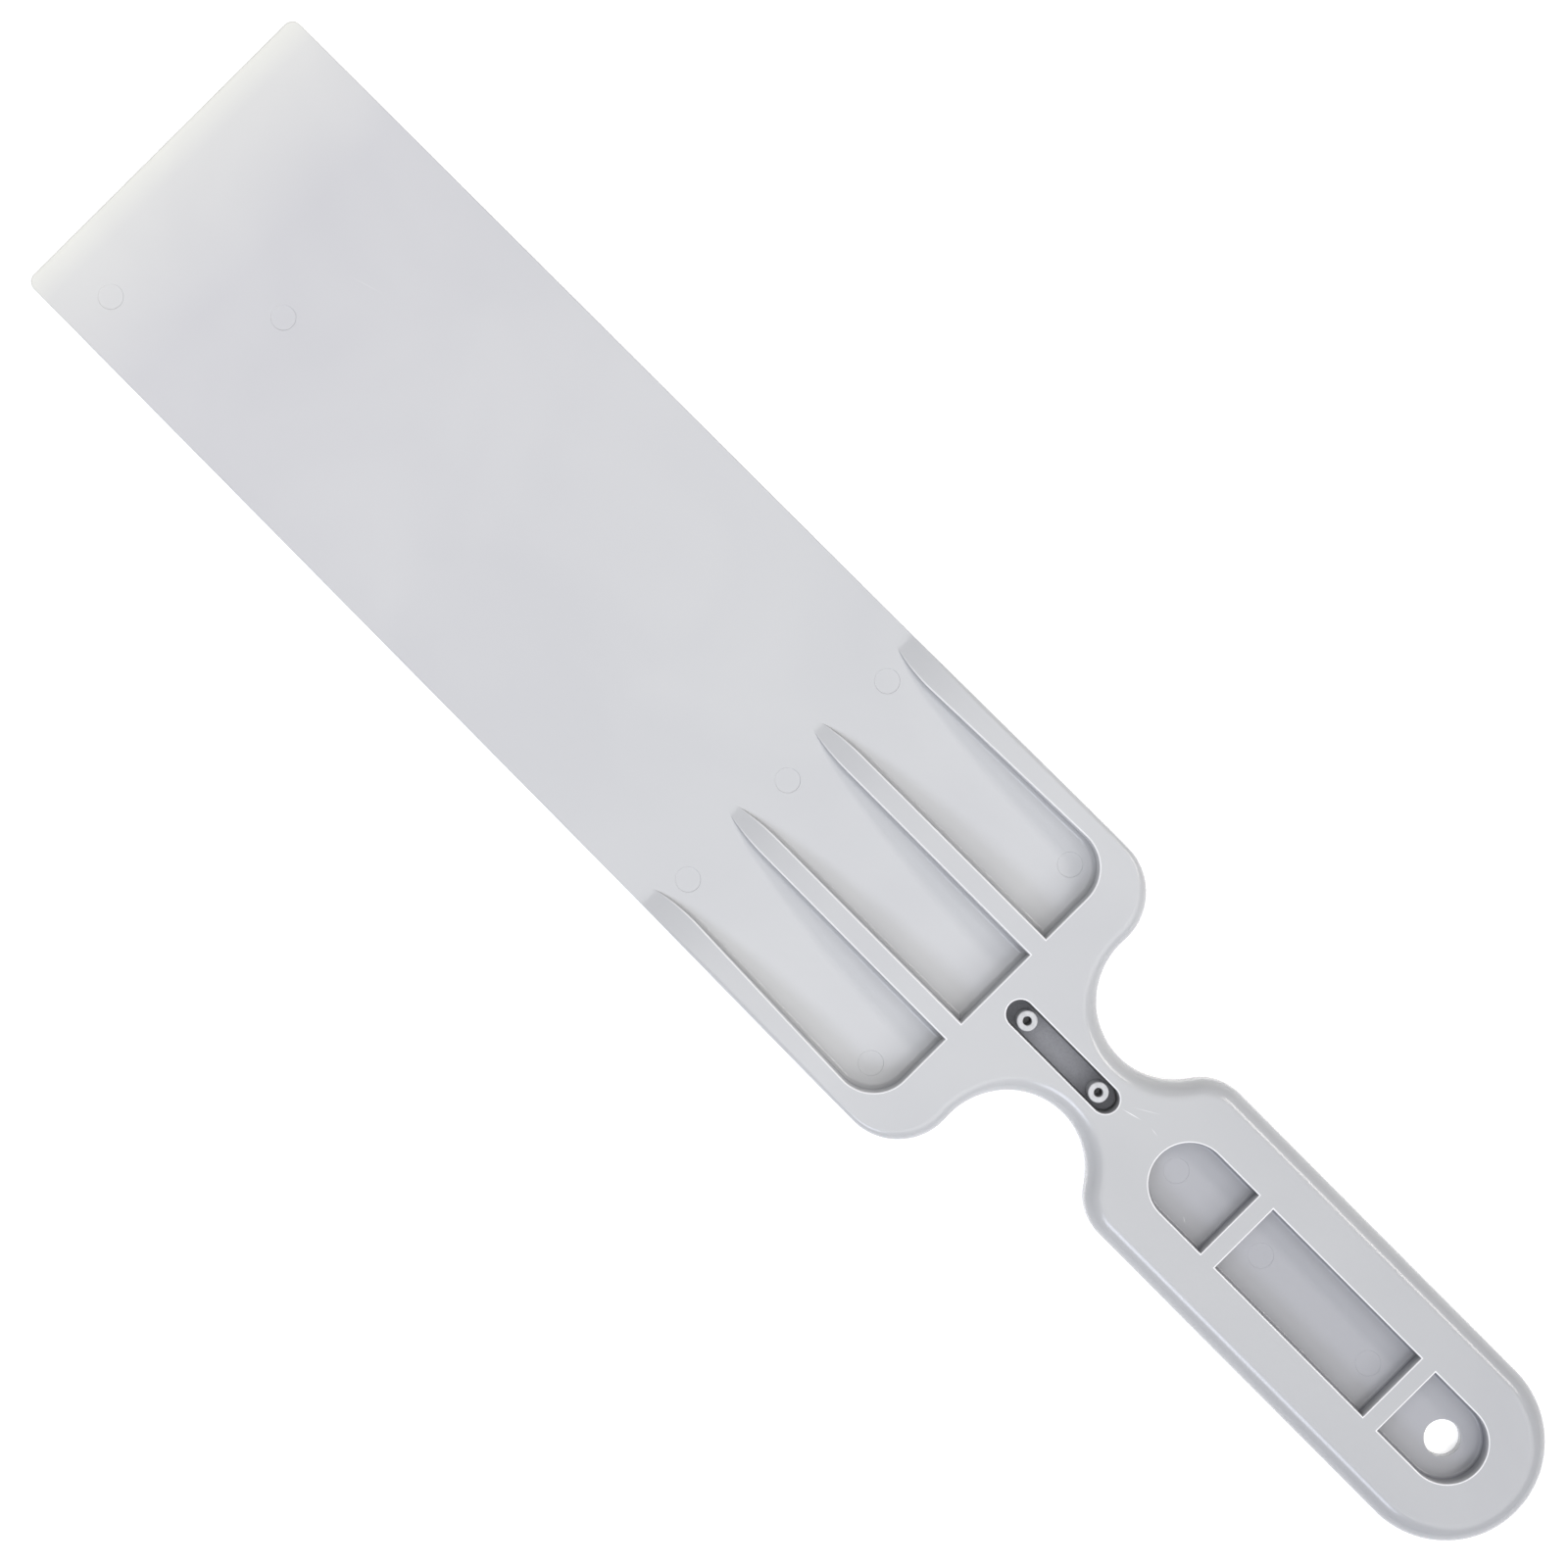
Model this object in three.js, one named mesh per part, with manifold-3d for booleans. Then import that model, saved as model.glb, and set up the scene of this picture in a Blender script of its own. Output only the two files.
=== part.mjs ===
// Long-reach paddle: a wide flexible blade, a ribbed root, a waisted neck and a cored handle, moulded in one
// piece, with a dark strip and two hollow studs set into a slot in the neck.
// Millimetres. X runs from the blade tip (-) to the handle end (+), Y across, Z up from the flat back.
// The origin is on the flat back, under the middle of the length.
import * as THREE from "three";
import { mergeVertices } from "three/addons/utils/BufferGeometryUtils.js";
import Module from "manifold-3d";

// Whole body
const overallLength = 518.5;
const thickness = 14;
const topEdgeRadius = 4.5;
const clearance = 0.3;

// Blade: widens and thickens a little from the tip to the root
const tipWidth = 101.6;
const rootWidth = 103.9;
const tipThickness = 1;
const rootThickness = 3;
const tipCornerRadius = 2.8;

// Outline arcs of the shoulders, neck and handle; places are measured from the blade tip
const shoulderCentre = 318.2;
const shoulderRadius = 17.1;
const neckRadius = 21.6;
const neckWidth = 21.35;
const handleShoulderRadius = 14;
const handleWidth = 53.5;

// Ribs, rims and the recess between them
const ribStart = 236.5;
const ribEnd = 319.9;
const ribCrownEnd = 325.2;
const ribWidth = 6;
const ribSpacing = 32;
const ribTipLength = 14;
const rimStartWidth = 5;
const rimWidth = 6.7;
const rimEndWidth = 6.1;
const recessCornerRadius = 11.5;

// Handle pockets and the hanging hole
const pocketFloor = 5;
const pocketWidth = 22.1;
const frontPocketStart = 382.5;
const crossbarCentres = [411.5, 473.1];
const crossbarWidth = 5.4;
const rearPocketEnd = 502.4;
const hangingHoleRadius = 5;
const hangingHoleCentre = 491.3;

// Neck slot, the strip in it and the two hollow studs
const slotStart = 325.5;
const slotLength = 39.9;
const slotWidth = 7.7;
const slotFloor = 1.5;
const stripThickness = 1;
const studSpacing = 27;
const studRadius = 2.8;
const studChamfer = 0.35;
const studBoreRadius = 1.2;
const studBoreFloor = 4;
const studFootRadius = 1.6;

const overrun = 10; // how far cutting solids run past the surfaces they cut
const arcSegments = 10;
const bevelSegments = 5;
const latheSegments = 32;

const wasm = await Module();
wasm.setup();

// Turns a distance from the blade tip into X.
function fromTip(distance) {
  return distance - overallLength / 2;
}

// Height of the blade's upper face at a distance from the tip.
function bladeTop(distance) {
  return tipThickness + ((rootThickness - tipThickness) * distance) / ribEnd;
}

function solidOf(geometry) {
  const bare = geometry.clone();
  bare.deleteAttribute("normal");
  bare.deleteAttribute("uv");
  const merged = mergeVertices(bare, 1e-4);
  return new wasm.Manifold(
    new wasm.Mesh({
      numProp: 3,
      vertProperties: merged.attributes.position.array,
      triVerts: new Uint32Array(merged.index.array),
    }),
  );
}

function geometryOf(solid) {
  const mesh = solid.getMesh();
  const geometry = new THREE.BufferGeometry();
  geometry.setAttribute("position", new THREE.BufferAttribute(mesh.vertProperties, 3));
  geometry.setIndex(new THREE.BufferAttribute(mesh.triVerts, 1));
  geometry.computeVertexNormals();
  return geometry;
}

// A plan shape raised straight up from one height to another.
function prism(shape, from, to) {
  const geometry = new THREE.ExtrudeGeometry(shape, {
    depth: to - from,
    curveSegments: arcSegments,
    bevelEnabled: false,
  });
  return geometry.translate(0, 0, from);
}

// A side-view shape drawn in X and Z and carried across the whole width.
function sideSlab(shape) {
  const width = rootWidth + 2 * overrun;
  const geometry = prism(shape, -width / 2, width / 2);
  return geometry.rotateX(Math.PI / 2);
}

// The body seen from above. The tip can be carried past its real place, with square corners.
function outline(tipX, cornerRadius) {
  const tipHalf = tipWidth / 2;
  const taper = Math.atan((rootWidth - tipWidth) / 2 / shoulderCentre);
  const shoulderX = fromTip(shoulderCentre);
  const shoulderY = rootWidth / 2 - shoulderRadius;
  const neckY = neckWidth / 2 + neckRadius;
  const neckX = shoulderX + Math.sqrt((shoulderRadius + neckRadius) ** 2 - (neckY - shoulderY) ** 2);
  const handleHalf = handleWidth / 2;
  const handleY = handleHalf - handleShoulderRadius;
  const handleX = neckX + Math.sqrt((neckRadius + handleShoulderRadius) ** 2 - (neckY - handleY) ** 2);
  const handleEndX = overallLength / 2 - handleHalf;
  const intoNeck = Math.atan2(shoulderY - neckY, neckX - shoulderX);
  const outOfNeck = Math.atan2(neckY - handleY, handleX - neckX);
  const square = Math.PI / 2;

  const shape = new THREE.Shape();
  if (cornerRadius > 0) {
    const cornerX = tipX + cornerRadius;
    const cornerY = tipHalf - cornerRadius;
    shape.absarc(cornerX, cornerY, cornerRadius, square, 2 * square, false);
    shape.absarc(cornerX, -cornerY, cornerRadius, 2 * square, 3 * square, false);
  } else {
    shape.moveTo(tipX, tipHalf);
    shape.lineTo(tipX, -tipHalf);
  }
  shape.absarc(shoulderX, -shoulderY, shoulderRadius, -square - taper, intoNeck, false);
  shape.absarc(neckX, -neckY, neckRadius, Math.PI + intoNeck, outOfNeck, true);
  shape.absarc(handleX, -handleY, handleShoulderRadius, outOfNeck - Math.PI, -square, false);
  shape.absarc(handleEndX, 0, handleHalf, -square, square, false);
  shape.absarc(handleX, handleY, handleShoulderRadius, square, Math.PI - outOfNeck, false);
  shape.absarc(neckX, neckY, neckRadius, -outOfNeck, -Math.PI - intoNeck, true);
  shape.absarc(shoulderX, shoulderY, shoulderRadius, -intoNeck, square + taper, false);
  shape.closePath();
  return shape;
}

// Side view: the blade thickens to the root, where the ribs rise out of it on one long convex arc.
function sideProfile() {
  const run = ribCrownEnd - ribStart;
  const rise = thickness - bladeTop(ribStart);
  const crownRadius = (run ** 2 + rise ** 2) / (2 * rise);
  const startAngle = Math.atan2(crownRadius - rise, -run);
  const crownX = fromTip(ribCrownEnd);
  const end = overallLength + overrun;
  const shape = new THREE.Shape();
  shape.moveTo(fromTip(-overrun), -overrun);
  shape.lineTo(fromTip(-overrun), bladeTop(-overrun));
  shape.lineTo(fromTip(ribStart), bladeTop(ribStart));
  shape.absarc(crownX, thickness - crownRadius, crownRadius, startAngle, Math.PI / 2, true);
  shape.lineTo(fromTip(end), thickness);
  shape.lineTo(fromTip(end), -overrun);
  shape.closePath();
  return shape;
}

// Seen from above: everything between the two rims and up to the neck wall, less the two ribs.
// The ribs' tips stay just inside its open end.
function recessPlan() {
  const startY = tipWidth / 2 - rimStartWidth + bladeGrowth(ribStart);
  const innerY = tipWidth / 2 - rimWidth + bladeGrowth(ribStart + ribTipLength);
  const endY = tipWidth / 2 - rimEndWidth + bladeGrowth(ribEnd);
  const cornerX = fromTip(ribEnd - recessCornerRadius);
  const cornerY = endY - recessCornerRadius;
  const ribTipX = fromTip(ribStart + ribTipLength);
  const square = Math.PI / 2;
  const shape = new THREE.Shape();
  shape.moveTo(fromTip(ribStart), -startY);
  shape.lineTo(ribTipX, -innerY);
  shape.absarc(cornerX, -cornerY, recessCornerRadius, -square, 0, false);
  for (const ribY of [-ribSpacing / 2, ribSpacing / 2]) {
    shape.lineTo(fromTip(ribEnd), ribY - ribWidth / 2);
    shape.absellipse(ribTipX, ribY, ribTipLength - clearance, ribWidth / 2, -square, square, true);
    shape.lineTo(fromTip(ribEnd), ribY + ribWidth / 2);
  }
  shape.absarc(cornerX, cornerY, recessCornerRadius, 0, square, false);
  shape.lineTo(ribTipX, innerY);
  shape.lineTo(fromTip(ribStart), startY);
  shape.closePath();
  return shape;
}

// How much wider the blade is, on each side, than at its tip.
function bladeGrowth(distance) {
  return ((rootWidth - tipWidth) / 2) * (distance / shoulderCentre);
}

// Side view of all the space above the blade's upper face, from the rib tips back.
function aboveBlade() {
  const end = ribEnd + overrun;
  const shape = new THREE.Shape();
  shape.moveTo(fromTip(ribStart), bladeTop(ribStart));
  shape.lineTo(fromTip(end), bladeTop(end));
  shape.lineTo(fromTip(end), thickness + overrun);
  shape.lineTo(fromTip(ribStart), thickness + overrun);
  shape.closePath();
  return shape;
}

// A rectangle along X whose ends can each be square or a half circle.
function longHole(start, end, width, roundStart, roundEnd) {
  const radius = width / 2;
  const square = Math.PI / 2;
  const shape = new THREE.Shape();
  if (roundStart) {
    shape.absarc(fromTip(start + radius), 0, radius, square, 3 * square, false);
  } else {
    shape.moveTo(fromTip(start), radius);
    shape.lineTo(fromTip(start), -radius);
  }
  if (roundEnd) {
    shape.absarc(fromTip(end - radius), 0, radius, -square, square, false);
  } else {
    shape.lineTo(fromTip(end), -radius);
    shape.lineTo(fromTip(end), radius);
  }
  shape.closePath();
  return shape;
}

function circle(centre, radius) {
  const shape = new THREE.Shape();
  shape.absarc(fromTip(centre), 0, radius, 0, 2 * Math.PI, false);
  return shape;
}

// Full-height blank with its upper edge rounded; its lower rounded edge is cut off by the flat back.
function roundedBlank() {
  const square = new THREE.ExtrudeGeometry(outline(fromTip(-overrun), 0), {
    depth: thickness + overrun - 2 * topEdgeRadius,
    curveSegments: arcSegments,
    bevelThickness: topEdgeRadius,
    bevelSize: topEdgeRadius,
    bevelOffset: -topEdgeRadius,
    bevelSegments,
  });
  square.translate(0, 0, topEdgeRadius - overrun);
  return solidOf(square);
}

// A cut straight down through everything above a floor.
function cutDown(shape, floor) {
  return solidOf(prism(shape, floor, thickness + overrun));
}

function makeBody() {
  const [frontBar, rearBar] = crossbarCentres;
  const halfBar = crossbarWidth / 2;
  const cuts = [
    cutDown(recessPlan(), 0).intersect(solidOf(sideSlab(aboveBlade()))),
    cutDown(longHole(frontPocketStart, frontBar - halfBar, pocketWidth, true, false), pocketFloor),
    cutDown(longHole(frontBar + halfBar, rearBar - halfBar, pocketWidth, false, false), pocketFloor),
    cutDown(longHole(rearBar + halfBar, rearPocketEnd, pocketWidth, false, true), pocketFloor),
    cutDown(longHole(slotStart, slotStart + slotLength, slotWidth, true, true), slotFloor),
    cutDown(circle(hangingHoleCentre, hangingHoleRadius), -overrun),
  ];
  let body = roundedBlank();
  body = body.intersect(solidOf(prism(outline(fromTip(0), tipCornerRadius), 0, thickness + overrun)));
  body = body.intersect(solidOf(sideSlab(sideProfile())));
  for (const cut of cuts) body = body.subtract(cut);
  return geometryOf(body);
}

// The strip lies on the slot's floor and the feet of the studs go through it.
const slotCentre = slotStart + slotLength / 2;
const studCentres = [slotCentre - studSpacing / 2, slotCentre + studSpacing / 2];
const stripBottom = slotFloor + clearance;
const stripTop = stripBottom + stripThickness;

function makeStrip() {
  const start = slotStart + clearance;
  const end = slotStart + slotLength - clearance;
  const shape = longHole(start, end, slotWidth - 2 * clearance, true, true);
  for (const centre of studCentres) shape.holes.push(circle(centre, studFootRadius + clearance));
  return prism(shape, stripBottom, stripTop);
}

// A hollow post with a narrow foot and a blind bore, turned about its own axis and standing on Z = 0.
function makeStud() {
  const shoulder = stripThickness + clearance;
  const height = thickness - clearance - stripBottom;
  const boreFloor = studBoreFloor - stripBottom;
  const profile = [
    [0, 0],
    [studFootRadius, 0],
    [studFootRadius, shoulder],
    [studRadius, shoulder],
    [studRadius, height - studChamfer],
    [studRadius - studChamfer, height],
    [studBoreRadius, height],
    [studBoreRadius, boreFloor],
    [0, boreFloor],
  ];
  const points = profile.map(([radius, along]) => new THREE.Vector2(radius, along));
  return new THREE.LatheGeometry(points, latheSegments).rotateX(Math.PI / 2);
}

const palePlastic = new THREE.MeshStandardMaterial({ color: "#d4d5d9", roughness: 0.38 });
const darkPlastic = new THREE.MeshStandardMaterial({ color: "#7b7c80", roughness: 0.5 });
const studPlastic = new THREE.MeshStandardMaterial({ color: "#e2e2e6", roughness: 0.3 });

const paddle = new THREE.Group();

function add(name, geometry, material) {
  const mesh = new THREE.Mesh(geometry, material);
  mesh.name = name;
  paddle.add(mesh);
  return mesh;
}

add("paddle_body", makeBody(), palePlastic);
add("neck_strip", makeStrip(), darkPlastic);
["front_stud", "rear_stud"].forEach((name, index) => {
  const stud = add(name, makeStud(), studPlastic.clone());
  stud.position.set(fromTip(studCentres[index]), 0, stripBottom);
});

export default paddle;
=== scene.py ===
import math

import bpy
import numpy as np
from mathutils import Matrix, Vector
from mathutils.geometry import delaunay_2d_cdt


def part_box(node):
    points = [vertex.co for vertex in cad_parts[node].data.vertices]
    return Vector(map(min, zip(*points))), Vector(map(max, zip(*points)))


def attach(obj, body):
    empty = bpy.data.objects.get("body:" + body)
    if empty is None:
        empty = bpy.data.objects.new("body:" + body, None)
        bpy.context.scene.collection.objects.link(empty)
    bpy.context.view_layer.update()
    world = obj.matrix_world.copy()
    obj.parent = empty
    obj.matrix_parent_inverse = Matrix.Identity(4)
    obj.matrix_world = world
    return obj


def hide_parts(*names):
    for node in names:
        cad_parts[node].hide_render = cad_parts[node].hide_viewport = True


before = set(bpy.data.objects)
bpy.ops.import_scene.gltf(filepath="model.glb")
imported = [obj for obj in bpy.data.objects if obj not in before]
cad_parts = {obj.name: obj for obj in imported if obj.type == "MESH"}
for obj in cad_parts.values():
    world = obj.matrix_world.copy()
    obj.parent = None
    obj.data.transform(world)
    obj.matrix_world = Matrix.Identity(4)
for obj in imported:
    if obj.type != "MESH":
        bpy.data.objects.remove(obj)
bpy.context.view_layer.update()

# A long-reach paddle lying on its flat back: blade, ribbed root, waisted neck and cored handle in one
# pale moulding, with a dark strip and two hollow studs in the slot of its neck.
# Shapes are in millimetres: along from the blade tip, across from the centre line, up from the back.
mm = 0.001
bodyLow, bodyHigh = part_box("paddle_body")
length = (bodyHigh.x - bodyLow.x) / mm
quarter = math.pi / 2
sameSpot = 1e-6  # mm
sameWay = 0.99999  # cosine between two directions that count as one


def smooth(start, end, value):
    share = min(max((value - start) / (end - start), 0), 1)
    return share * share * (3 - 2 * share)


def slopeOf(height, along):
    reach = 0.05
    return (height(along + reach) - height(along - reach)) / (2 * reach)


# A path seen from above is a list of stations: a spot, and the side of it that the air is on.
bladeStep = 12  # mm between stations where nothing changes
ribStep = 1.5  # mm where the height changes
wallStep = 2
arcStep = 1.0  # mm along an arc
arcTurn = math.radians(6)


def line(start, end, step=4.0):
    start, end = np.array(start, float), np.array(end, float)
    run = end - start
    count = max(1, math.ceil(np.linalg.norm(run) / step))
    side = np.array([-run[1], run[0]]) / np.linalg.norm(run)  # the air is on the left
    return [(start + run * i / count, side) for i in range(count + 1)]


def arc(centre, radius, start, end, facing=1):
    sweep = abs(end - start)
    count = math.ceil(max(sweep * radius / arcStep, sweep / arcTurn))
    rays = [np.array([math.cos(turn), math.sin(turn)]) for turn in np.linspace(start, end, count + 1)]
    return [(centre + radius * ray, facing * ray) for ray in rays]


def ellipse(centre, halfLength, halfWidth, start, end, count):
    stations = []
    for turn in np.linspace(start, end, count + 1):
        side = np.array([math.cos(turn) / halfLength, math.sin(turn) / halfWidth])
        reach = np.array([halfLength * math.cos(turn), halfWidth * math.sin(turn)])
        stations.append((centre + reach, side / np.linalg.norm(side)))
    return stations


def mirrored(stations):
    flip = np.array([1, -1])
    return [(spot * flip, side * flip) for spot, side in reversed(stations)]


def same(first, second):
    return np.linalg.norm(first - second) < sameSpot


# Joins stretches into one path, and adds to each station its mitre: how far it moves for each mm of offset.
def joined(parts, closed=False):
    kept = []
    for spot, side in (station for part in parts for station in part):
        if not (kept and same(spot, kept[-1][0]) and side @ kept[-1][1] > sameWay):
            kept.append((spot, side))
    if closed and same(kept[0][0], kept[-1][0]) and kept[0][1] @ kept[-1][1] > sameWay:
        kept.pop()
    stations = []
    for index, (spot, side) in enumerate(kept):
        mitre = side
        for other in (kept[index - 1], kept[(index + 1) % len(kept)]):
            if same(other[0], spot):
                mitre = (side + other[1]) / (1 + side @ other[1])
        stations.append((spot, side, mitre))
    return stations


def ring(centre, radius, facing):
    return joined([arc(np.array(centre, float), radius, 0, 2 * math.pi, facing)], closed=True)


# A hole along the paddle with square or round ends; the air is inside.
def longHole(start, end, width, roundStart, roundEnd):
    half = width / 2
    left = start + half * roundStart
    right = end - half * roundEnd
    farEnd = [line((end, -half), (end, half))]
    if roundEnd:
        farEnd = [arc(np.array([right, 0]), half, -quarter, quarter, -1)]
    nearEnd = [line((start, half), (start, -half))]
    if roundStart:
        nearEnd = [arc(np.array([left, 0]), half, quarter, 3 * quarter, -1)]
    low = [line((left, -half), (right, -half))]
    high = [line((right, half), (left, half))]
    return joined(low + farEnd + high + nearEnd, closed=True)


tail = 9  # mm; a section starts and ends on straight tails, and only their direction counts


# The section of an edge: out from its path, up, and the way it faces, with the inner corners rounded.
def roundedProfile(corners, radii, ends=False, steps=5):
    corners = [np.array(corner, float) for corner in corners]
    profile = []
    for index, radius in enumerate(radii, 1):
        before = corners[index] - corners[index - 1]
        after = corners[index + 1] - corners[index]
        before, after = before / np.linalg.norm(before), after / np.linalg.norm(after)
        bend = math.atan2(before[0] * after[1] - before[1] * after[0], before @ after)
        inward = (after - before) / np.linalg.norm(after - before)
        centre = corners[index] + inward * radius / math.cos(bend / 2)
        if index == 1 and ends:
            profile.append((corners[0], np.array([before[1], -before[0]])))
        start = math.atan2(-before[0], before[1])
        for turn in np.linspace(start, start + bend, steps + 1):
            facing = np.array([math.cos(turn), math.sin(turn)])
            profile.append((centre + math.copysign(radius, bend) * facing, facing))
        if index == len(radii) and ends:
            profile.append((corners[-1], np.array([after[1], -after[0]])))
    return profile


# A surface is a list of faces, and a face is a list of corners: point, normal and its painted light,
# from -1, painted shade at the bottom of a pocket, to 1, a painted highlight on a rounded edge.
def addFace(faces, corners):
    area = np.zeros(3)
    for this, following in zip(corners, corners[1:] + corners[:1]):
        area += np.cross(this[0], following[0])
    if area @ sum(corner[1] for corner in corners) < 0:
        corners = corners[::-1]
    faces.append(corners)


# Carries a section along a path, and returns the points of the section's first and last edge.
def loft(faces, stations, section, closed=True):
    rows = []
    for spot, side, mitre in stations:
        row = []
        for (out, height), (faceOut, faceUp), slope, light in section(spot[0]):
            place = spot + out * mitre
            normal = np.array([faceOut * side[0] - faceUp * slope, faceOut * side[1], faceUp])
            row.append((np.array([place[0], place[1], height]), normal / np.linalg.norm(normal), light))
        rows.append(row)
    pairs = list(zip(rows, rows[1:] + rows[:1])) if closed else list(zip(rows, rows[1:]))
    for this, following in pairs:
        for step in range(len(this) - 1):
            addFace(faces, [this[step], this[step + 1], following[step + 1], following[step]])
    return [row[0][0] for row in rows], [row[-1][0] for row in rows]


# A skin between closed rings of points, inside the first and outside the others.
def skin(faces, rings, height=None, facing=1, light=0):
    points, outlines = [], []
    for loop in rings:
        kept = [point for index, point in enumerate(loop) if not same(point, loop[index - 1])]
        pairs = zip(kept, kept[1:] + kept[:1])
        area = sum(this[0] * after[1] - this[1] * after[0] for this, after in pairs)
        order = list(range(len(points), len(points) + len(kept)))
        outlines.append(order if area > 0 else order[::-1])
        points += kept
    flat = [Vector(point[:2]) for point in points]
    _, _, triangles, pointSources, _, outlineSources = delaunay_2d_cdt(flat, [], outlines, 1, 1e-5)
    for triangle, within in zip(triangles, outlineSources):
        if list(within) != [0]:
            continue
        corners = []
        for index in triangle:
            point = points[pointSources[index][0]]
            normal = np.array([-slopeOf(height, point[0]) if height else 0, 0, 1]) * facing
            corners.append((point, normal / np.linalg.norm(normal), light))
        addFace(faces, corners)


def makePiece(name, faces, material, slotName, *nodes):
    places, points, lightness, polygons, normals = {}, [], [], [], []
    for corners in faces:
        used = []
        for point, normal, light in corners:
            key = tuple(np.round(point, 3))
            if key not in places:
                places[key] = len(points)
                points.append((point[0] * mm + bodyLow.x, point[1] * mm, point[2] * mm))
                lightness.append(light)
            lightness[places[key]] = max(lightness[places[key]], light, key=abs)
            if places[key] not in [index for index, _ in used]:
                used.append((places[key], normal))
        if len(used) > 2:
            polygons.append([index for index, _ in used])
            normals += [tuple(normal) for _, normal in used]
    mesh = bpy.data.meshes.new(name)
    mesh.from_pydata(points, [], polygons)
    mesh.polygons.foreach_set("use_smooth", [True] * len(mesh.polygons))
    mesh.normals_split_custom_set(normals)
    mesh.attributes.new("lightThrough", "FLOAT", "POINT").data.foreach_set("value", lightness)
    mesh.materials.append(material)
    piece = bpy.data.objects.new(name, mesh)
    bpy.context.scene.collection.objects.link(piece)
    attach(piece, "root")
    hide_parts(*nodes)
    sides = {}
    for polygon in polygons:
        for pair in zip(polygon, polygon[1:] + polygon[:1]):
            sides[frozenset(pair)] = sides.get(frozenset(pair), 0) + 1
    openEdges = sum(count != 2 for count in sides.values())
    print(f"{name}: {len(polygons)} faces, {openEdges} open edges")
    return piece


def linear(hexColour):
    shares = [int(hexColour[i:i + 2], 16) / 255 for i in (1, 3, 5)]
    return (*[c / 12.92 if c <= 0.04045 else ((c + 0.055) / 1.055) ** 2.4 for c in shares], 1)


# Adds a node. Settings are its inputs or its own options, "stops" a ramp's colours, and links the sources
# of its inputs.
def addNode(tree, kind, settings=(), links=()):
    node = tree.nodes.new(kind)
    for name, value in dict(settings).items():
        if name == "stops":
            elements = node.color_ramp.elements
            while len(elements) < len(value):
                elements.new(0.5)
            for element, (place, colour) in zip(elements, value):
                element.position = place
                element.color = colour
        elif isinstance(name, int) or name in node.inputs:
            node.inputs[name].default_value = value
        else:
            setattr(node, name, value)
    for name, socket in dict(links).items():
        tree.links.new(socket, node.inputs[name])
    return node


# A material with a principled shader, and the place on the paddle in metres to lay patterns by.
def newMaterial(name, settings):
    material = bpy.data.materials.new(name)
    material.use_nodes = True
    tree = material.node_tree
    tree.nodes.clear()
    shader = addNode(tree, "ShaderNodeBsdfPrincipled", settings)
    addNode(tree, "ShaderNodeOutputMaterial", links={"Surface": shader.outputs[0]})
    place = addNode(tree, "ShaderNodeTexCoord").outputs["Object"]
    return material, tree, shader, place


cloudEnds = (0.35, 0.65)  # a noise keeps mostly between these


# Polypropylene, injection moulded and slightly translucent: a satin pale grey with faint flow mottling, a
# spark-eroded grain and a few hairline scratches. Painted light in its colour: a painted glow at the tip,
# painted shade towards the handle, painted highlights on rounded edges and painted shade in the pockets.
palePlastic = {
    "ior": 1.49,
    # The paler colours near the tip are a painted glow, the lit table seen in the feather-edged blade; the
    # darker ones past the neck are painted shade falling off towards the handle end.
    "along": [0, 8, 40, 235, 300, 372, 518],  # mm from the blade tip
    "colours": ["#dadad4", "#cccccb", "#bebec1", "#b8b9bb", "#b7b8ba", "#adaeb0", "#a0a1a4"],
    # painted highlight along the rounded edges
    "edgeHighlightColour": "#e6e6e8",
    "edgeHighlightShare": 0.8,
    # painted shade on the pocket floors and the lower pocket walls
    "pocketShade": "#e6e6ea",
    "flow": 60.0,  # mm across one patch of flow mottling
    "flowShades": ["#fafafb", "#ffffff"],
    "grain": 0.6,  # mm; the real grain is about 0.1 mm, too fine to show, so it is drawn coarser
    "grainHeight": 0.004,
    "wave": 45.0,  # mm from crest to crest of the warp that cooling leaves
    "waveHeight": 0.02,
    "roughness": [0.18, 0.23],
    # scratches: start and end (along, across), width and how white, all in mm but the last
    "scratches": [
        [(366.3, 1.3), (372.6, 3.0), 0.35, 0.9],
        [(368.0, 3.5), (375.5, 8.0), 0.3, 0.4],
        [(375.5, 3.3), (378.6, 2.9), 0.3, 0.5],
        [(399.6, -7.3), (401.4, -8.4), 0.3, 0.5],
        [(60.0, 12.0), (71.0, 15.5), 0.3, 0.2],
    ],
}


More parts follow.
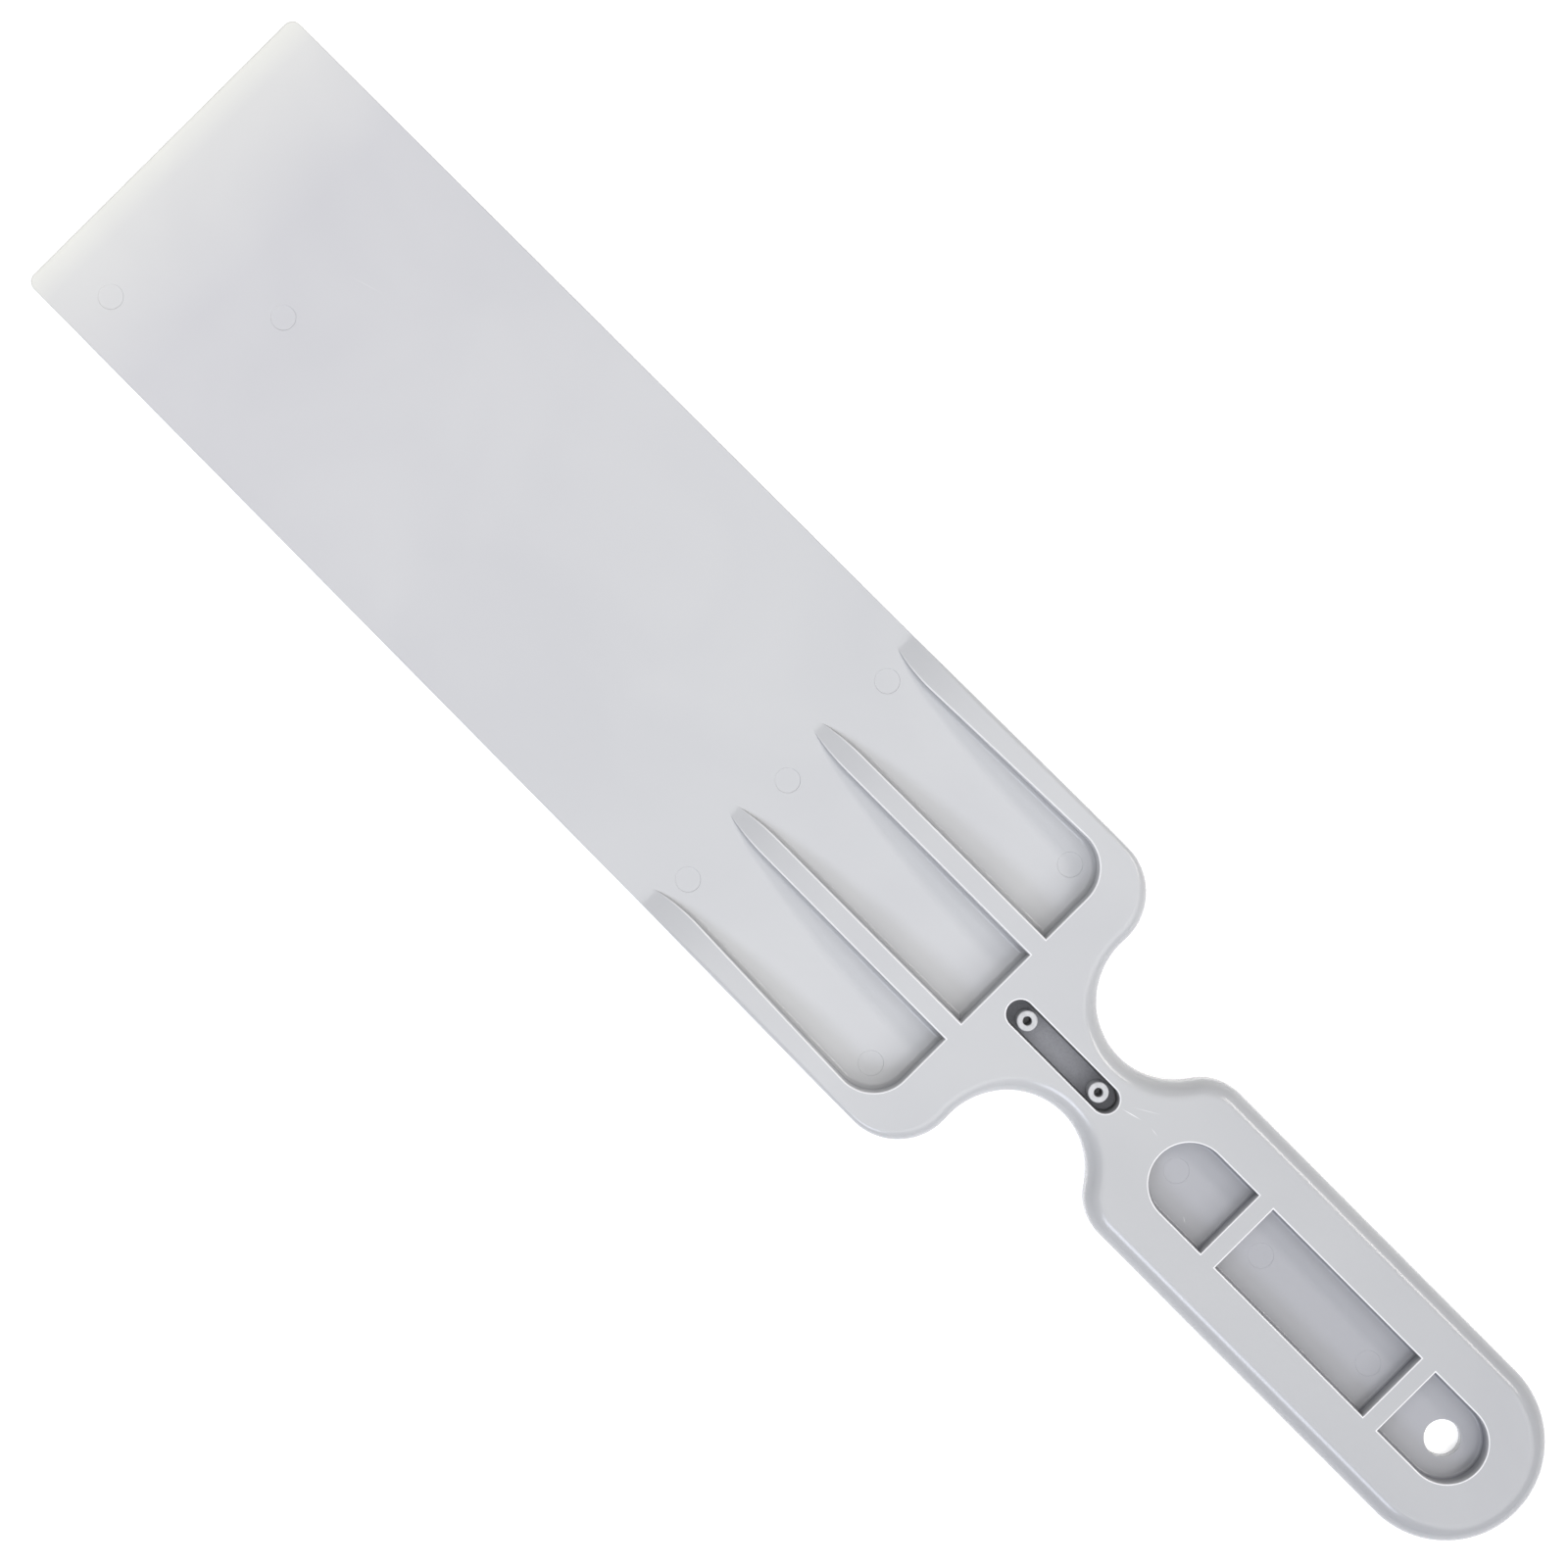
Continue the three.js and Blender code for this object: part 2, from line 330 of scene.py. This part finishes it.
def paleMaterial():
    look = palePlastic
    material, tree, shader, place = newMaterial(
        "polypropylene, injection moulded, satin pale grey", {"IOR": look["ior"]}
    )
    x = addNode(tree, "ShaderNodeSeparateXYZ", links={0: place}).outputs["X"]
    share = addNode(
        tree, "ShaderNodeMapRange", {"From Min": bodyLow.x, "From Max": bodyHigh.x}, {"Value": x}
    ).outputs["Result"]
    # Along the paddle: the plastic's own grey, with the painted glow at the tip and the painted shade
    # towards the handle.
    last = look["along"][-1]
    stops = [(along / last, linear(colour)) for along, colour in zip(look["along"], look["colours"])]
    toneAndPaintedLight = addNode(tree, "ShaderNodeValToRGB", {"stops": stops}, {"Fac": share}).outputs["Color"]

    flow = addNode(
        tree, "ShaderNodeTexNoise", {"Scale": 1 / (look["flow"] * mm), "Detail": 2.0, "Distortion": 0.8},
        {"Vector": place},
    ).outputs["Fac"]
    shades = [(spot, linear(shade)) for spot, shade in zip(cloudEnds, look["flowShades"])]
    mottle = addNode(tree, "ShaderNodeValToRGB", {"stops": shades}, {"Fac": flow}).outputs["Color"]
    body = addNode(
        tree, "ShaderNodeMix", {"data_type": "RGBA", "blend_type": "MULTIPLY", 0: 1.0}, {6: toneAndPaintedLight, 7: mottle}
    ).outputs[2]

    # Painted light per point: below 0 it is painted pocket shade, above 0 a painted edge highlight.
    paintedMarks = addNode(tree, "ShaderNodeAttribute", {"attribute_name": "lightThrough"}).outputs["Fac"]
    pocketShadeShare = addNode(
        tree, "ShaderNodeMapRange", {"From Min": 0, "From Max": -1}, {"Value": paintedMarks}
    ).outputs["Result"]
    # painted shade in the pockets
    shaded = {"data_type": "RGBA", "blend_type": "MULTIPLY", 7: linear(look["pocketShade"])}
    body = addNode(tree, "ShaderNodeMix", shaded, {0: pocketShadeShare, 6: body}).outputs[2]
    # painted highlight along the rounded edges
    lightEdge = addNode(
        tree, "ShaderNodeMapRange", {"To Max": look["edgeHighlightShare"]}, {"Value": paintedMarks}
    ).outputs["Result"]
    whiteness = None
    for start, end, width, strength in look["scratches"]:
        run = (end[0] - start[0], end[1] - start[1])
        middle = ((start[0] + end[0]) / 2 * mm + bodyLow.x, (start[1] + end[1]) / 2 * mm, 0)
        laid = addNode(
            tree, "ShaderNodeMapping", {
                "vector_type": "TEXTURE", "Location": middle, "Rotation": (0, 0, math.atan2(run[1], run[0])),
                "Scale": (math.hypot(*run) / 2 * mm, width / 2 * mm, 1),
            }, {"Vector": place},
        ).outputs[0]
        mark = addNode(
            tree, "ShaderNodeTexGradient", {"gradient_type": "SPHERICAL"}, {"Vector": laid}
        ).outputs["Fac"]
        mark = addNode(tree, "ShaderNodeMath", {"operation": "MULTIPLY", 1: strength}, {0: mark}).outputs[0]
        if whiteness:
            mark = addNode(
                tree, "ShaderNodeMath", {"operation": "MAXIMUM"}, {0: whiteness, 1: mark}
            ).outputs[0]
        whiteness = mark
    # the painted edge highlight and the real scratches both whiten the colour
    light = addNode(
        tree, "ShaderNodeMath", {"operation": "MAXIMUM"}, {0: lightEdge, 1: whiteness}
    ).outputs[0]
    colour = addNode(
        tree, "ShaderNodeMix", {"data_type": "RGBA", 7: linear(look["edgeHighlightColour"])}, {0: light, 6: body}
    ).outputs[2]
    tree.links.new(colour, shader.inputs["Base Color"])

    grain = addNode(
        tree, "ShaderNodeTexNoise", {"Scale": 1 / (look["grain"] * mm), "Detail": 3.0}, {"Vector": place}
    ).outputs["Fac"]
    wave = addNode(
        tree, "ShaderNodeTexNoise", {"Scale": 1 / (look["wave"] * mm), "Detail": 1.0}, {"Vector": place}
    ).outputs["Fac"]
    smoothness = addNode(
        tree, "ShaderNodeMapRange", {"To Min": look["roughness"][0], "To Max": look["roughness"][1]},
        {"Value": flow},
    ).outputs["Result"]
    tree.links.new(smoothness, shader.inputs["Roughness"])
    warp = addNode(
        tree, "ShaderNodeBump", {"Distance": look["waveHeight"] * mm}, {"Height": wave}
    ).outputs["Normal"]
    relief = addNode(
        tree, "ShaderNodeBump", {"Distance": look["grainHeight"] * mm}, {"Height": grain, "Normal": warp}
    ).outputs["Normal"]
    tree.links.new(relief, shader.inputs["Normal"])
    return material


# ABS sheet, die cut, mid grey: matt, with a fine even grain and a little dust-pale speckle.
stripPlastic = {
    "ior": 1.53,
    "colours": ["#909197", "#9a9ba1"],
    "speck": 0.5,  # mm; drawn coarse enough to show
    "grain": 0.35,
    "grainHeight": 0.01,
    "roughness": [0.5, 0.62],
}
# Polypropylene, injection moulded, natural: milky white and smooth, with a faint cloudiness.
studPlastic = {
    "ior": 1.49,
    "colours": ["#aeafb1", "#bbbcbe"],
    "speck": 1.2,
    "grain": 0.3,
    "grainHeight": 0.003,
    "roughness": [0.25, 0.33],
}


def smallPartMaterial(name, look):
    material, tree, shader, place = newMaterial(name, {"IOR": look["ior"]})
    speck = addNode(
        tree, "ShaderNodeTexNoise", {"Scale": 1 / (look["speck"] * mm), "Detail": 3.0}, {"Vector": place}
    ).outputs["Fac"]
    stops = [(spot, linear(colour)) for spot, colour in zip(cloudEnds, look["colours"])]
    colour = addNode(tree, "ShaderNodeValToRGB", {"stops": stops}, {"Fac": speck}).outputs["Color"]
    smoothness = addNode(
        tree, "ShaderNodeMapRange", {"To Min": look["roughness"][0], "To Max": look["roughness"][1]},
        {"Value": speck},
    ).outputs["Result"]
    grain = addNode(
        tree, "ShaderNodeTexNoise", {"Scale": 1 / (look["grain"] * mm), "Detail": 2.0}, {"Vector": place}
    ).outputs["Fac"]
    relief = addNode(
        tree, "ShaderNodeBump", {"Distance": look["grainHeight"] * mm}, {"Height": grain}
    ).outputs["Normal"]
    tree.links.new(colour, shader.inputs["Base Color"])
    tree.links.new(smoothness, shader.inputs["Roughness"])
    tree.links.new(relief, shader.inputs["Normal"])
    return material


paddle = {
    "tipWidth": 101.6,
    "rootWidth": (bodyHigh.y - bodyLow.y) / mm,
    "tipThickness": 1.0,
    "rootThickness": 3.0,
    "thickness": bodyHigh.z / mm,
    "tipCornerRadius": 2.8,
    "shoulderCentre": 318.2,
    "shoulderRadius": 17.1,
    "neckRadius": 21.6,
    "neckWidth": 21.35,
    "handleShoulderRadius": 14.0,
    "handleWidth": 53.5,
    "bladeEdgeRadius": 0.35,
    "rimEdgeRadius": 1.3,
    "handleEdgeRadius": 5.3,
    "bladeBackRadius": 0.25,
    "handleBackRadius": 1.6,
    "rimEdgeFrom": 268,  # the blade's sharp edge has become the rim's by here
    "handleEdgeSpan": (312, 356),  # the rim's edge becomes the handle's between these
}
ribs = {
    "start": 236.5,
    "tip": 234.5,
    "tipFade": 3.5,
    "softening": 0.5,
    "end": 319.9,
    "crownEnd": 325.2,
    "width": 6.0,
    "spacing": 32.0,
    "tipEnd": 250.5,
    "tipSteps": 24,  # stations round a quarter of a rib's tip
    "rimTipHalf": 48.1,
    "rimInnerHalf": 44.5,
    "rimEndHalf": 46.07,
    "cornerRadius": 11.5,
    "draft": math.radians(2),
    "footRadius": 1.5,
    "topRadius": 0.45,
}


def bladeTop(along):
    rise = paddle["rootThickness"] - paddle["tipThickness"]
    return paddle["tipThickness"] + rise * along / ribs["end"]


# Rims and ribs rise out of the blade on one long convex arc that ends level with the neck.
def ribRise(along):
    run = ribs["crownEnd"] - ribs["start"]
    rise = paddle["thickness"] - bladeTop(ribs["start"])
    radius = (run ** 2 + rise ** 2) / (2 * rise)
    back = max(ribs["crownEnd"] - along, 0)
    above = paddle["thickness"] - radius + math.sqrt(radius ** 2 - back ** 2) - bladeTop(along)
    soft = ribs["softening"]
    if above < soft:
        above = max(above + soft, 0) ** 2 / (4 * soft)
    return above * smooth(ribs["tip"], ribs["tip"] + ribs["tipFade"], along)


def bodyTop(along):
    return bladeTop(along) + ribRise(along)


def outline():
    tipHalf, rootHalf, handleHalf = (paddle[key] / 2 for key in ("tipWidth", "rootWidth", "handleWidth"))
    corner, shoulder, neck, handleShoulder = (
        paddle[key] for key in ("tipCornerRadius", "shoulderRadius", "neckRadius", "handleShoulderRadius")
    )
    taper = math.atan((rootHalf - tipHalf) / paddle["shoulderCentre"])
    shoulderSpot = np.array([paddle["shoulderCentre"], rootHalf - shoulder])
    neckAcross = paddle["neckWidth"] / 2 + neck
    handleAcross = handleHalf - handleShoulder
    neckAlong = shoulderSpot[0] + math.sqrt((shoulder + neck) ** 2 - (neckAcross - shoulderSpot[1]) ** 2)
    handleAlong = neckAlong + math.sqrt((neck + handleShoulder) ** 2 - (neckAcross - handleAcross) ** 2)
    intoNeck = math.atan2(shoulderSpot[1] - neckAcross, neckAlong - shoulderSpot[0])
    outOfNeck = math.atan2(neckAcross - handleAcross, handleAlong - neckAlong)
    endSpot = np.array([length - handleHalf, 0])
    shoulderStart = shoulderSpot + shoulder * np.array([-math.sin(taper), math.cos(taper)])
    bladeRun = np.array([corner, tipHalf])
    share = (ribs["tip"] - corner) / (shoulderStart[0] - corner)
    rimStart = bladeRun + share * (shoulderStart - bladeRun)
    upper = [
        line((0, 0), (0, tipHalf - corner), bladeStep),
        arc(np.array([corner, tipHalf - corner]), corner, 2 * quarter, quarter),
        line(bladeRun, rimStart, bladeStep),
        line(rimStart, shoulderStart, ribStep),
        arc(shoulderSpot, shoulder, quarter + taper, -intoNeck),
        arc(np.array([neckAlong, neckAcross]), neck, -2 * quarter - intoNeck, -outOfNeck, -1),
        arc(np.array([handleAlong, handleAcross]), handleShoulder, 2 * quarter - outOfNeck, quarter),
        line((handleAlong, handleHalf), (endSpot[0], handleHalf)),
        arc(endSpot, handleHalf, quarter, 0),
    ]
    return joined(upper + [mirrored(part) for part in reversed(upper)], closed=True)


def outlineSection(along):
    top = bodyTop(along)
    growth = smooth(ribs["tip"], paddle["rimEdgeFrom"], along)
    edge = paddle["bladeEdgeRadius"] + (paddle["rimEdgeRadius"] - paddle["bladeEdgeRadius"]) * growth
    thickening = smooth(*paddle["handleEdgeSpan"], along)
    edge += (paddle["handleEdgeRadius"] - paddle["rimEdgeRadius"]) * thickening
    back = paddle["bladeBackRadius"] + (paddle["handleBackRadius"] - paddle["bladeBackRadius"]) * thickening
    profile = roundedProfile([(-tail, 0), (0, 0), (0, top), (-tail, top)], [back, edge], steps=8)
    slope = slopeOf(bodyTop, along)
    return [(place, facing, slope * max(place[1], 0) / top, 0) for place, facing in profile]


# The wall between the channels and what stands above them: rim, corner, neck wall and both ribs.
def recessPath():
    halfRib = ribs["width"] / 2
    ribAcross = -ribs["spacing"] / 2
    tipLength = ribs["tipEnd"] - ribs["tip"]
    corner = ribs["cornerRadius"]
    cornerSpot = np.array([ribs["end"] - corner, corner - ribs["rimEndHalf"]])
    lean = math.atan((ribs["rimEndHalf"] - ribs["rimInnerHalf"]) / (cornerSpot[0] - ribs["tipEnd"]))
    cornerStart = cornerSpot + corner * np.array([-math.sin(lean), -math.cos(lean)])
    rimTip = np.array([ribs["tipEnd"], -ribs["rimTipHalf"]])
    rimTipWidth = ribs["rimTipHalf"] - ribs["rimInnerHalf"]
    ribTip = np.array([ribs["tipEnd"], ribAcross])
    lower = [
        ellipse(rimTip, tipLength, rimTipWidth, 2 * quarter, quarter, ribs["tipSteps"]),
        line((ribs["tipEnd"], -ribs["rimInnerHalf"]), cornerStart, ribStep),
        arc(cornerSpot, corner, -quarter - lean, 0, -1),
        line((ribs["end"], cornerSpot[1]), (ribs["end"], ribAcross - halfRib), wallStep),
        line((ribs["end"], ribAcross - halfRib), (ribs["tipEnd"], ribAcross - halfRib), ribStep),
        ellipse(ribTip, tipLength, halfRib, -quarter, -3 * quarter, 2 * ribs["tipSteps"]),
        line((ribs["tipEnd"], ribAcross + halfRib), (ribs["end"], ribAcross + halfRib), ribStep),
        line((ribs["end"], ribAcross + halfRib), (ribs["end"], 0), wallStep),
    ]
    return joined(lower + [mirrored(part) for part in reversed(lower)])


edgeLightFade = 0.45  # mm of land beside a rounded edge over which its painted highlight fades out
edgeLightRise = 3.0  # mm of height from which an edge has its full painted highlight
footShare, topShare = 0.45, 0.4  # of a low wall's height, the most that its two radii may take


# A wall that rises from a floor to a top, with a hollow foot and a rounded edge; its top is on the path.
def wallSection(floor, top, draft, footRadius, topRadius, slopes=(0, 0), edgeLightShare=1, least=0.01, pocketShadeShare=0):
    drawn = max(top - floor, least)  # a lower wall is this one flattened
    lean = drawn * math.tan(draft)
    radii = [min(footRadius, footShare * drawn), min(topRadius, topShare * drawn)]
    profile = roundedProfile([(lean + tail, 0), (lean, 0), (0, drawn), (-tail, drawn)], radii)
    share = (top - floor) / drawn
    hasEdgeLight = edgeLightShare > 0
    if hasEdgeLight:
        edgeLightShare *= min(1, (top - floor) / edgeLightRise)
    section = []
    for index, ((out, height), facing) in enumerate(profile):
        slope = slopes[0] + (slopes[1] - slopes[0]) * height / drawn
        # the upper half of the section takes the painted edge highlight, the lower half the painted pocket
        # shade
        light = edgeLightShare if index >= len(profile) // 2 else -pocketShadeShare
        section.append(((out * share, floor + height * share), facing * [share, 1], slope, light))
    if hasEdgeLight:
        section.append(((-edgeLightFade * share, top), np.array([0.0, 1.0]), slopes[1], 0))
    return section


def recessSection(along):
    slopes = (slopeOf(bladeTop, along), slopeOf(bodyTop, along))
    return wallSection(
        bladeTop(along), bodyTop(along), ribs["draft"], ribs["footRadius"], ribs["topRadius"], slopes,
        least=ribs["softening"],
    )


pockets = {
    "floor": 5.0,
    "width": 22.1,
    "frontStart": 382.5,
    "crossbars": [411.5, 473.1],
    "crossbarWidth": 5.4,
    "rearEnd": 502.4,
    "draft": math.radians(1.2),
    "footRadius": 0.8,
    "topRadius": 0.3,
    "hangingHole": 491.3,
    "hangingHoleRadius": 5.0,
    "hangingHoleEdge": 0.3,
}
slot = {
    "start": 325.5,
    "length": 39.9,
    "width": 7.7,
    "floor": 1.5,
    "footRadius": 0.2,
    "topRadius": 0.35,
}
# Ejector pins leave round marks a little below the surface: along, across, radius.
pinMarks = {
    "blade": [(19, -37.5), (56, -8.4), (241, -38), (241, 0), (241, 38), (311, -38), (311, 38)],
    "pockets": [[389.6], [421.9, 462.9], []],
    "radius": 3.5,
    "depth": 0.12,
    "pocketDepth": 0.06,
    "flank": math.radians(50),
    "softening": 0.15,
}


def pinMark(faces, centre, height, depth=pinMarks["depth"], pocketShadeShare=0):
    def section(along):
        level = height(centre[0])
        tilt = slopeOf(height, centre[0])
        return wallSection(
            level - depth + tilt * (along - centre[0]), level + tilt * (along - centre[0]),
            pinMarks["flank"], pinMarks["softening"], pinMarks["softening"], (tilt, tilt),
            edgeLightShare=-pocketShadeShare, pocketShadeShare=pocketShadeShare,
        )
    inner, outer = loft(faces, ring(centre, pinMarks["radius"], -1), section)
    skin(faces, [inner], height, light=-pocketShadeShare)
    return outer


def makePaddleBody(material):
    faces = []
    outer = outline()
    bottomRing, topRing = loft(faces, outer, outlineSection)
    recessFoot, recessTop = loft(faces, recessPath(), recessSection, closed=False)
    first, second = [i for i, station in enumerate(outer) if abs(station[0][0] - ribs["tip"]) < sameSpot]
    bladeMarks = [pinMark(faces, mark, bladeTop) for mark in pinMarks["blade"]]
    skin(faces, [topRing[second:] + topRing[:first + 1] + recessFoot[::-1]] + bladeMarks, bladeTop)

    landRings = [topRing[first:second + 1] + recessTop]
    half = pockets["crossbarWidth"] / 2
    front, rear = pockets["crossbars"]
    spans = [
        (pockets["frontStart"], front - half, True, False),
        (front + half, rear - half, False, False),
        (rear + half, pockets["rearEnd"], False, True),
    ]
    floor = pockets["floor"]
    holeSection = roundedProfile(
        [(-tail, 0), (0, 0), (0, floor), (-tail, floor)], [pockets["hangingHoleEdge"]] * 2
    )
    holeRing = ring((pockets["hangingHole"], 0), pockets["hangingHoleRadius"], -1)
    holeBottom, holeTop = loft(faces, holeRing, lambda along: [(*entry, 0, 0) for entry in holeSection])
    for (start, end, roundStart, roundEnd), marks in zip(spans, pinMarks["pockets"]):
        path = longHole(start, end, pockets["width"], roundStart, roundEnd)
        # pocket walls take painted shade on their lower half
        section = wallSection(
            floor, paddle["thickness"], pockets["draft"], pockets["footRadius"], pockets["topRadius"], pocketShadeShare=1
        )
        foot, top = loft(faces, path, lambda along: section)
        landRings.append(top)
        floorRings = [foot]
        for mark in marks:
            floorRings.append(pinMark(
                faces, (mark, 0), lambda along: pockets["floor"], pinMarks["pocketDepth"], pocketShadeShare=1
            ))
        if roundEnd:
            floorRings.append(holeTop)
        # the pocket floor takes the full painted shade
        skin(faces, floorRings, light=-1)

    path = longHole(slot["start"], slot["start"] + slot["length"], slot["width"], True, True)
    section = wallSection(slot["floor"], paddle["thickness"], 0, slot["footRadius"], slot["topRadius"])
    foot, top = loft(faces, path, lambda along: section)
    skin(faces, [foot])
    skin(faces, landRings + [top], bodyTop)
    skin(faces, [bottomRing, holeBottom], facing=-1)
    return makePiece("paddle_moulding", faces, material, "pale_moulding", "paddle_body")


strip = {
    "lowEdgeRadius": 0.15,
    "topEdgeRadius": 0.3,
    "holeRadius": 1.9,
}
stud = {
    "footRadius": 1.6,
    "shoulder": 1.3,  # height of the foot
    "boreRadius": 1.2,
    "boreFloor": 2.2,
    "radii": [0.2, 0.1, 0.25, 0.4, 0.3, 0.4],
}


# A node's box on the paddle in mm: start, end, half width, lowest and highest.
def nodeSpan(node):
    low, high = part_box(node)
    return (low.x - bodyLow.x) / mm, (high.x - bodyLow.x) / mm, high.y / mm, low.z / mm, high.z / mm


def makeStrip(material, studNodes):
    faces = []
    start, end, half, low, high = nodeSpan("neck_strip")
    edge = roundedProfile(
        [(-tail, low), (0, low), (0, high), (-tail, high)], [strip["lowEdgeRadius"], strip["topEdgeRadius"]]
    )
    path = [(spot, -side, -mitre) for spot, side, mitre in longHole(start, end, 2 * half, True, True)]
    lows, highs = [], []
    for node in studNodes:
        studStart, studEnd = nodeSpan(node)[:2]
        hole = ring(((studStart + studEnd) / 2, 0), strip["holeRadius"], -1)
        lowRing, highRing = loft(faces, hole, lambda along: [(*entry, 0, 0) for entry in edge])
        lows.append(lowRing)
        highs.append(highRing)
    lowRing, highRing = loft(faces, path, lambda along: [(*entry, 0, 0) for entry in edge])
    skin(faces, [lowRing] + lows, facing=-1)
    skin(faces, [highRing] + highs)
    return makePiece("dark_strip", faces, material, "dark_strip", "neck_strip")


def makeStud(name, material, node):
    faces = []
    start, end, radius, low, high = nodeSpan(node)
    foot, bore = stud["footRadius"] - radius, stud["boreRadius"] - radius
    shoulder, boreFloor = low + stud["shoulder"], low + stud["boreFloor"]
    profile = roundedProfile([
        (-radius, low), (foot, low), (foot, shoulder), (0, shoulder),
        (0, high), (bore, high), (bore, boreFloor), (-radius, boreFloor),
    ], stud["radii"], ends=True)
    path = ring(((start + end) / 2, 0), radius, 1)
    loft(faces, path, lambda along: [(*entry, 0, 0) for entry in profile])
    return makePiece(name, faces, material, "pale_stud", node)


makePaddleBody(paleMaterial())
print("moulding made")
makeStrip(smallPartMaterial("ABS sheet, die cut, matt mid grey", stripPlastic), ["front_stud", "rear_stud"])
studMaterial = smallPartMaterial("polypropylene, injection moulded, milky white", studPlastic)
makeStud("hollow_stud_front", studMaterial, "front_stud")
makeStud("hollow_stud_rear", studMaterial, "rear_stud")
print("strip and studs made")


# A lit white table: it stays white right up to the paddle's edge.
table = {
    "half": 3.0,
    "colour": "#f4f4f4",
    "glow": 0.35,
    "drop": 0.0001,  # metres below the paddle's back
}


def addTable():
    half = table["half"]
    mesh = bpy.data.meshes.new("table")
    corners = [(-half, -half), (half, -half), (half, half), (-half, half)]
    mesh.from_pydata([(x, y, -table["drop"]) for x, y in corners], [], [(0, 1, 2, 3)])
    material, tree, shader, place = newMaterial("acrylic sheet, opal, matt white", {
        "Base Color": linear(table["colour"]), "Roughness": 0.9,
        "Emission Color": linear("#ffffff"), "Emission Strength": table["glow"],
    })
    mesh.materials.append(material)
    plane = bpy.data.objects.new("table", mesh)
    bpy.context.scene.collection.objects.link(plane)


def addSoftbox(name, place, tilt, size, power, colour):
    light = bpy.data.lights.new(name, "AREA")
    light.shape = "RECTANGLE"
    light.size, light.size_y = size
    light.energy = power
    light.color = linear(colour)[:3]
    box = bpy.data.objects.new(name, light)
    box.location = place
    box.rotation_euler = (math.radians(-tilt[0]), math.radians(tilt[1]), 0)
    box.visible_camera = False
    bpy.context.scene.collection.objects.link(box)


# Softboxes: place in metres, tilt across and along in degrees, size in metres, watts and colour. A wide one
# hangs over the camera. Two to the sides draw the highlights along the rounded edges and the soft shadows
# beside the ribs, and one past the handle shades the far end of each pocket.
softboxes = {
    "overhead": ((0, 0, 1.8), (0, 0), (1.6, 1.6), 16, "#ffffff"),
    "sideLeft": ((0.4, 1.14, 1.51), (37, 0), (0.7, 0.35), 8.5, "#fffaf4"),
    "sideRight": ((0.4, -1.14, 1.51), (-37, 0), (0.7, 0.55), 12, "#ebf0ff"),
    "pastHandle": ((1.1, 0, 1.5), (0, 36), (1.0, 1.4), 11, "#ffffff"),
}
studio = {
    "worldStrength": 0.3,
    "cameraHeight": 1.214,
    "cameraAlong": -0.01825,
    "cameraAcross": -0.0014,
    "cameraTurn": math.radians(45.13),
    "lens": 102.9,
}

addTable()
for name, settings in softboxes.items():
    addSoftbox(name, *settings)

world = bpy.data.worlds.new("studio")
bpy.context.scene.world = world
world.use_nodes = True
world.node_tree.nodes["Background"].inputs["Color"].default_value = linear("#ffffff")
world.node_tree.nodes["Background"].inputs["Strength"].default_value = studio["worldStrength"]

camera = bpy.data.cameras.new("camera")
camera.lens = studio["lens"]
camera.clip_start, camera.clip_end = 0.05, 20
cameraObject = bpy.data.objects.new("camera", camera)
cameraObject.location = (studio["cameraAlong"], studio["cameraAcross"], studio["cameraHeight"])
cameraObject.rotation_euler = (0, 0, studio["cameraTurn"])
bpy.context.scene.collection.objects.link(cameraObject)
bpy.context.scene.camera = cameraObject
bpy.context.scene.view_settings.view_transform = "Standard"
print("studio made")
